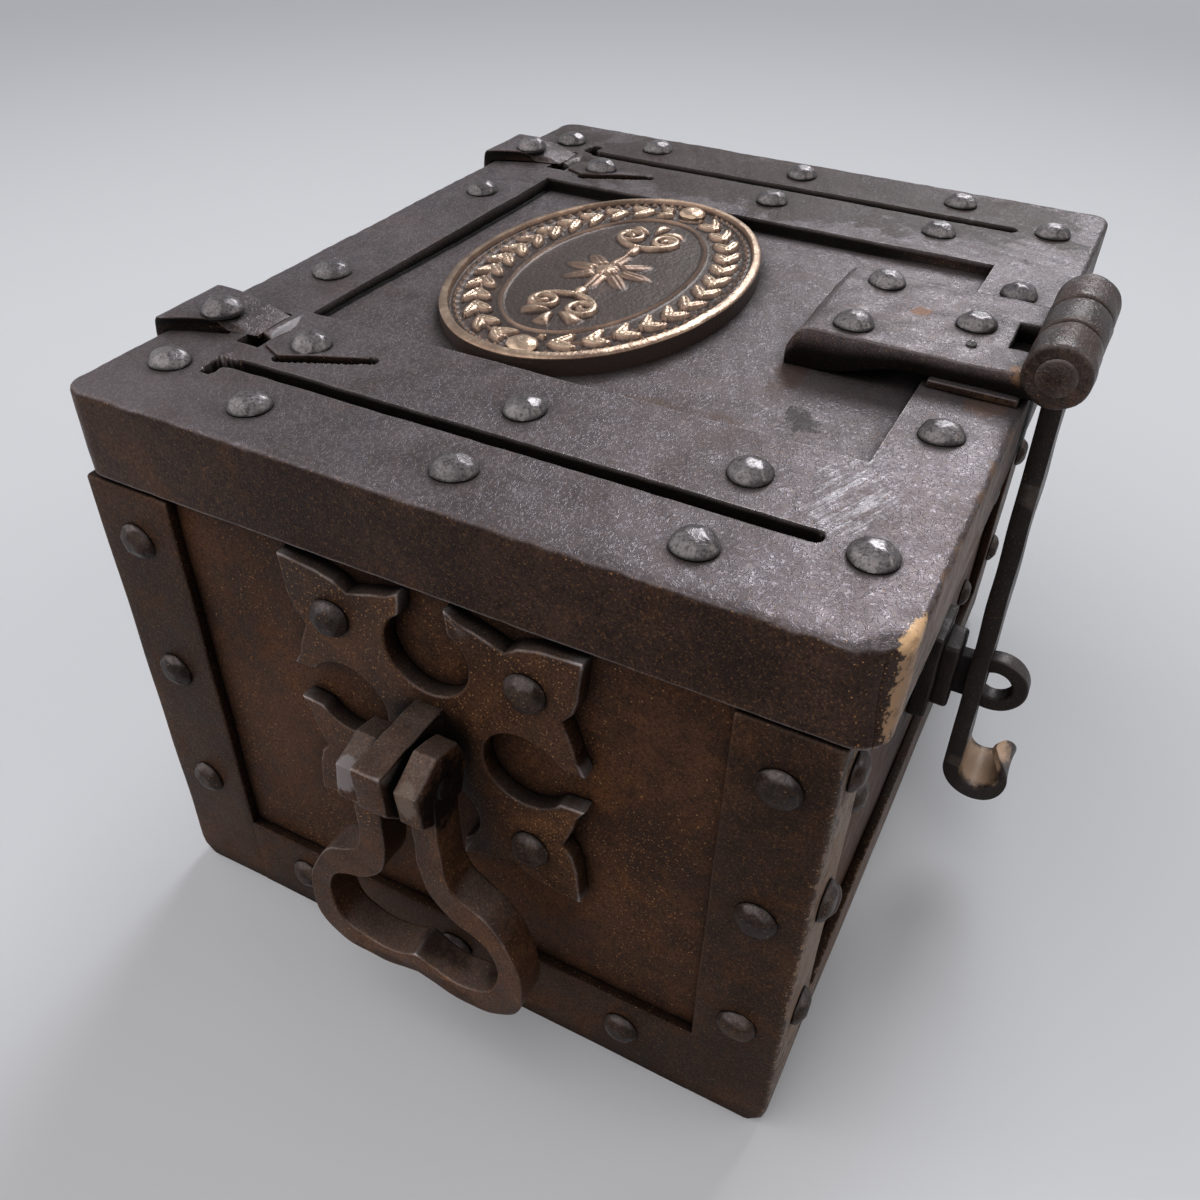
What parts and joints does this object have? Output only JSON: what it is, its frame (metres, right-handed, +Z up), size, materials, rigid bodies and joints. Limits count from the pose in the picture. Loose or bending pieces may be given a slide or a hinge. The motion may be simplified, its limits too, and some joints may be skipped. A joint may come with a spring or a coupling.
{
  "type": "iron strongbox",
  "caption": "Small riveted iron strongbox with a hinged lid, oval bronze plaque, front hasp and padlock staple, and a swinging drop handle on each end.",
  "frame": {"origin": "middle of the lid's plan, on the flat underside of the floor plate, where the box stands on a table", "axes": "+Z up; -Y is the front with the hasp and staple, +Y the back with the hinges, and the handles are at -X and +X"},
  "size_m": [0.247, 0.1964, 0.1543],
  "materials": {
    "case_iron": "dark chocolate-brown cast iron with fine rust specks",
    "lid_iron": "dark grey-brown cast iron, wrinkled and softly polished by handling",
    "fittings_iron": "dark forged iron",
    "rivet_iron": "hammered graphite-grey iron heads",
    "bronze": "aged bronze, dark in the hollows and worn bright on the relief"
  },
  "bodies": {
    "case": {"floor_plate": "case_iron", "front_wall": "case_iron", "back_wall": "case_iron", "left_wall": "case_iron", "right_wall": "case_iron", "front_left_corner_strap": "case_iron", "front_right_corner_strap": "case_iron", "back_left_corner_strap": "case_iron", "back_right_corner_strap": "case_iron", "left_bottom_strap": "case_iron", "right_bottom_strap": "case_iron", "front_bottom_strap": "case_iron", "back_bottom_strap": "case_iron", "staple_base": "fittings_iron", "hasp_staple": "fittings_iron", "left_handle_plate": "case_iron", "left_handle_post": "case_iron", "left_handle_pin": "fittings_iron", "left_handle_rivet_1": "rivet_iron", "left_handle_rivet_2": "rivet_iron", "left_handle_rivet_3": "rivet_iron", "left_handle_rivet_4": "rivet_iron", "right_handle_plate": "case_iron", "right_handle_post": "case_iron", "right_handle_pin": "fittings_iron", "right_handle_rivet_1": "rivet_iron", "right_handle_rivet_2": "rivet_iron", "right_handle_rivet_3": "rivet_iron", "right_handle_rivet_4": "rivet_iron", "left_hinge_leaf": "fittings_iron", "left_hinge_pin": "fittings_iron", "right_hinge_leaf": "fittings_iron", "right_hinge_pin": "fittings_iron"},
    "lid": {"lid_cap": "lid_iron", "lid_frame": "lid_iron", "left_hinge_strap": "lid_iron", "left_hinge_pad_rivet": "rivet_iron", "left_hinge_tail_rivet": "rivet_iron", "right_hinge_strap": "lid_iron", "right_hinge_pad_rivet": "rivet_iron", "right_hinge_tail_rivet": "rivet_iron", "plaque": "bronze", "plaque_pin_1": "bronze", "plaque_pin_2": "bronze", "hasp_leaf": "lid_iron", "leaf_packing": "lid_iron", "hasp_pin": "fittings_iron", "leaf_rivet_1": "rivet_iron", "leaf_rivet_2": "rivet_iron", "leaf_rivet_3": "rivet_iron"},
    "hasp": {"hasp_strap": "fittings_iron"},
    "left_handle": {"left_bail": "case_iron"},
    "right_handle": {"right_bail": "case_iron"}
  },
  "joints": [
    {"name": "lid_hinge", "type": "hinge", "parent": "case", "child": "lid", "pos_m": [0, 0.087, 0.1204], "axis": [-1, 0, 0], "range_deg": [0, 100]},
    {"name": "hasp_hinge", "type": "hinge", "parent": "lid", "child": "hasp", "pos_m": [0.001, -0.087, 0.1475], "axis": [-1, 0, 0], "range_deg": [0, 240]},
    {"name": "left_handle_hinge", "type": "hinge", "parent": "case", "child": "left_handle", "pos_m": [-0.1135, 0, 0.0871], "axis": [0, 1, 0], "range_deg": [-4, 170]},
    {"name": "right_handle_hinge", "type": "hinge", "parent": "case", "child": "right_handle", "pos_m": [0.1135, 0, 0.0871], "axis": [0, -1, 0], "range_deg": [-4, 170]}
  ],
  "couplings": [
    {"joint": "hasp_hinge", "follows": "lid_hinge", "ratio": 2.4}
  ]
}
